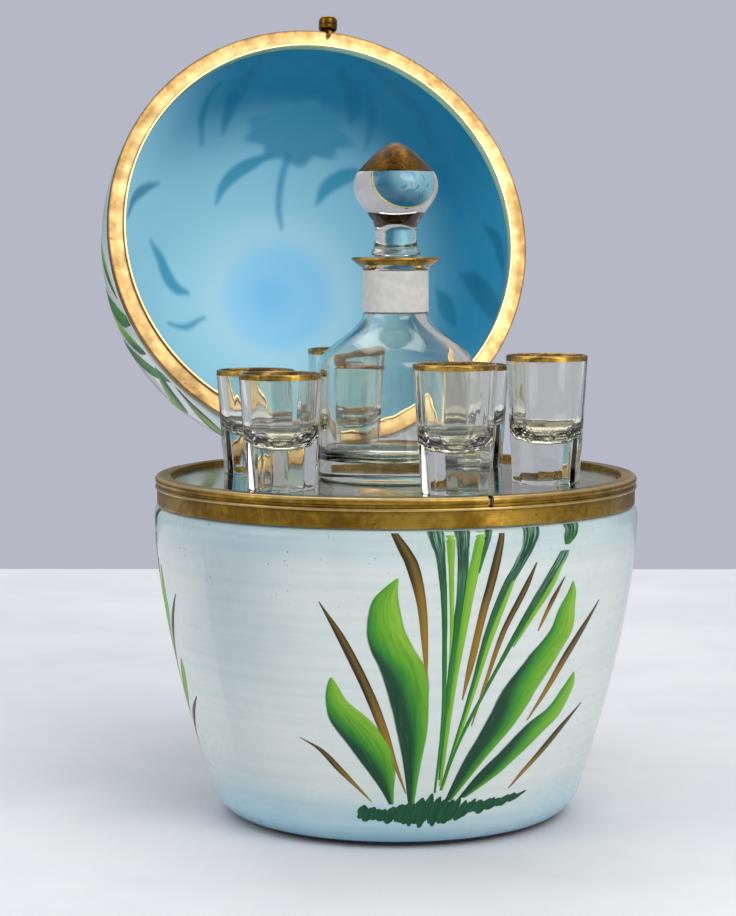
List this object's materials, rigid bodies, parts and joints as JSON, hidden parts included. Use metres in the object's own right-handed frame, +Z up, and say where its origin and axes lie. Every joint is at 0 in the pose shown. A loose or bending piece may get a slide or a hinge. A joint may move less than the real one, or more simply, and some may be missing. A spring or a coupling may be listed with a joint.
{
  "type": "tantalus",
  "caption": "Egg-shaped opaline glass casket with a brass-hinged domed lid, a mirror tray, a stoppered decanter and small gilt-rimmed glasses.",
  "frame": {"origin": "centre of the bowl's flat foot, on the surface it stands on", "axes": "+Z up, -Y the front with the clasp, +Y the back with the hinge, +X to the right seen from the front"},
  "size_m": [0.2212, 0.4138, 0.3792],
  "materials": {
    "opaline": "glossy, painted by hand",
    "plaster": "matt",
    "ring_brass": "old polish",
    "bright_brass": "bright",
    "dark_brass": "darkened",
    "board": "plain",
    "mirror": "polished",
    "clear_glass": "polished, with gilt edges"
  },
  "bodies": {
    "base": {"base_bowl": "opaline", "base_rim_plaster": "plaster", "base_rim_band": "ring_brass", "tray_collar": "ring_brass", "plate_backing": "board", "tray_plate": "mirror", "hinge_base_leaf": "ring_brass", "hinge_base_rivets": "dark_brass", "hinge_pin": "dark_brass"},
    "lid": {"lid_dome": "opaline", "lid_rim_plaster": "plaster", "lid_rim_band": "ring_brass", "lid_seat_ring": "bright_brass", "hinge_lid_leaf": "ring_brass", "hinge_lid_rivets": "dark_brass", "clasp_knob": "ring_brass", "clasp_tongue": "dark_brass"},
    "decanter": {"decanter": "clear_glass"},
    "stopper": {"stopper": "clear_glass"},
    "glass_front": {"glass_front": "clear_glass"},
    "glass_front_right": {"glass_front_right": "clear_glass"},
    "glass_back_right": {"glass_back_right": "clear_glass"},
    "glass_back": {"glass_back": "clear_glass"},
    "glass_back_left": {"glass_back_left": "clear_glass"},
    "glass_front_left": {"glass_front_left": "clear_glass"}
  },
  "joints": [
    {"name": "lid_hinge", "type": "hinge", "parent": "base", "child": "lid", "pos_m": [0, 0.1136, 0.1561], "axis": [-1, 0, 0], "range_deg": [-106, 0]},
    {"name": "decanter_lift", "type": "slide", "parent": "base", "child": "decanter", "axis": [0, 0, 1], "range_m": [0, 0.12]},
    {"name": "stopper_lift", "type": "slide", "parent": "decanter", "child": "stopper", "axis": [0, 0, 1], "range_m": [0, 0.05]},
    {"name": "glass_front_lift", "type": "slide", "parent": "base", "child": "glass_front", "axis": [0, 0, 1], "range_m": [0, 0.08]},
    {"name": "glass_front_right_lift", "type": "slide", "parent": "base", "child": "glass_front_right", "axis": [0, 0, 1], "range_m": [0, 0.08]},
    {"name": "glass_back_right_lift", "type": "slide", "parent": "base", "child": "glass_back_right", "axis": [0, 0, 1], "range_m": [0, 0.08]},
    {"name": "glass_back_lift", "type": "slide", "parent": "base", "child": "glass_back", "axis": [0, 0, 1], "range_m": [0, 0.08]},
    {"name": "glass_back_left_lift", "type": "slide", "parent": "base", "child": "glass_back_left", "axis": [0, 0, 1], "range_m": [0, 0.08]},
    {"name": "glass_front_left_lift", "type": "slide", "parent": "base", "child": "glass_front_left", "axis": [0, 0, 1], "range_m": [0, 0.08]}
  ]
}
